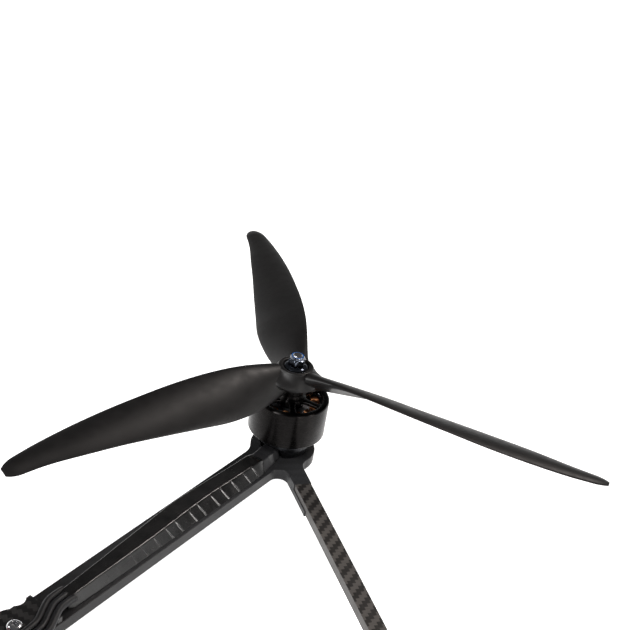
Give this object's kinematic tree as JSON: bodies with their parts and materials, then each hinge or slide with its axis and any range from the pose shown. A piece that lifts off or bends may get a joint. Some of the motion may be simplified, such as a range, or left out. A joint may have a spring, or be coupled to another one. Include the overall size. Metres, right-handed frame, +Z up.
{
  "type": "quadcopter drone",
  "caption": "Long-range quadcopter drone with three-blade propellers on clamped carbon arms, side braces, battery on top and a tilting nose camera.",
  "frame": {"origin": "on the ground, under the centre of the airframe, midway between the four motors", "axes": "+Z up, the nose towards -Y, the aircraft's left side towards +X"},
  "size_m": [0.7352, 0.6772, 0.1201],
  "materials": {
    "carbon_plate": "satin woven carbon laminate",
    "arm_plate": "satin black laminate",
    "brace_carbon": "satin twill carbon laminate",
    "steel_screw": "polished",
    "black_screw": "black oxide",
    "standoff_metal": "red anodised",
    "foot_rubber": "matte",
    "circuit_board": "black solder mask",
    "spacer_nylon": "matte",
    "capacitor_sleeve": "glossy sleeve",
    "transmitter_case": "black anodised",
    "gps_case": "matte",
    "printed_plastic": "satin flexible print",
    "antenna_plastic": "satin",
    "socket_plastic": "satin nylon",
    "pad_rubber": "matte",
    "battery_sleeve": "shrink sleeve",
    "strap_fabric": "woven nylon",
    "buckle_metal": "satin",
    "wire_tape": "glossy vinyl tape",
    "motor_casting": "black anodised",
    "core_steel": "laminated",
    "copper_winding": "enamelled copper",
    "bearing_steel": "polished",
    "camera_plastic": "matte",
    "lens_barrel": "gloss",
    "bell_metal": "semi-gloss black anodised",
    "magnet_metal": "nickel plated",
    "shaft_steel": "ground",
    "propeller_plastic": "satin moulded",
    "nut_steel": "polished"
  },
  "bodies": {
    "root": {"bottom_plate": "carbon_plate", "deck_plate": "carbon_plate", "top_plate": "carbon_plate", "arm_front_left": "arm_plate", "arm_front_right": "arm_plate", "arm_rear_left": "arm_plate", "arm_rear_right": "arm_plate", "brace_left": "brace_carbon", "brace_right": "brace_carbon", "brace_screws": "steel_screw", "standoffs": "standoff_metal", "frame_screws": "black_screw", "arm_clamp_bolts": "steel_screw", "motor_screws": "black_screw", "landing_feet": "foot_rubber", "speed_controller": "circuit_board", "flight_controller": "circuit_board", "stack_bolts": "steel_screw", "stack_spacers": "spacer_nylon", "capacitor": "capacitor_sleeve", "video_transmitter": "transmitter_case", "radio_receiver": "circuit_board", "gps_module": "gps_case", "tail_holder": "printed_plastic", "video_antenna": "antenna_plastic", "power_socket": "socket_plastic", "camera_side_plates": "carbon_plate", "battery_pad": "pad_rubber", "battery": "battery_sleeve", "battery_straps": "strap_fabric", "strap_buckles": "buckle_metal", "motor_wires_left": "wire_tape", "motor_wires_right": "wire_tape", "motor_bases": "motor_casting", "stator_cores": "core_steel", "windings": "copper_winding", "bearings": "bearing_steel"},
    "camera": {"camera_body": "camera_plastic", "camera_lens": "lens_barrel", "camera_screws": "steel_screw"},
    "rotor_front_left": {"motor_bell_front_left": "bell_metal", "magnets_front_left": "magnet_metal", "motor_shaft_front_left": "shaft_steel", "propeller_front_left": "propeller_plastic", "prop_nut_front_left": "nut_steel"},
    "rotor_front_right": {"motor_bell_front_right": "bell_metal", "magnets_front_right": "magnet_metal", "motor_shaft_front_right": "shaft_steel", "propeller_front_right": "propeller_plastic", "prop_nut_front_right": "nut_steel"},
    "rotor_rear_left": {"motor_bell_rear_left": "bell_metal", "magnets_rear_left": "magnet_metal", "motor_shaft_rear_left": "shaft_steel", "propeller_rear_left": "propeller_plastic", "prop_nut_rear_left": "nut_steel"},
    "rotor_rear_right": {"motor_bell_rear_right": "bell_metal", "magnets_rear_right": "magnet_metal", "motor_shaft_rear_right": "shaft_steel", "propeller_rear_right": "propeller_plastic", "prop_nut_rear_right": "nut_steel"}
  },
  "joints": [
    {"name": "camera_tilt", "type": "hinge", "parent": "root", "child": "camera", "pos_m": [0, -0.088, 0.0415], "axis": [-1, 0, 0], "range_deg": [-20, 20]},
    {"name": "rotor_front_left_spin", "type": "hinge", "parent": "root", "child": "rotor_front_left", "pos_m": [0.237, -0.175, 0.0615], "axis": [0, 0, 1], "continuous": true},
    {"name": "rotor_front_right_spin", "type": "hinge", "parent": "root", "child": "rotor_front_right", "pos_m": [-0.237, -0.175, 0.0615], "axis": [0, 0, -1], "continuous": true},
    {"name": "rotor_rear_left_spin", "type": "hinge", "parent": "root", "child": "rotor_rear_left", "pos_m": [0.237, 0.175, 0.0615], "axis": [0, 0, -1], "continuous": true},
    {"name": "rotor_rear_right_spin", "type": "hinge", "parent": "root", "child": "rotor_rear_right", "pos_m": [-0.237, 0.175, 0.0615], "axis": [0, 0, 1], "continuous": true}
  ]
}
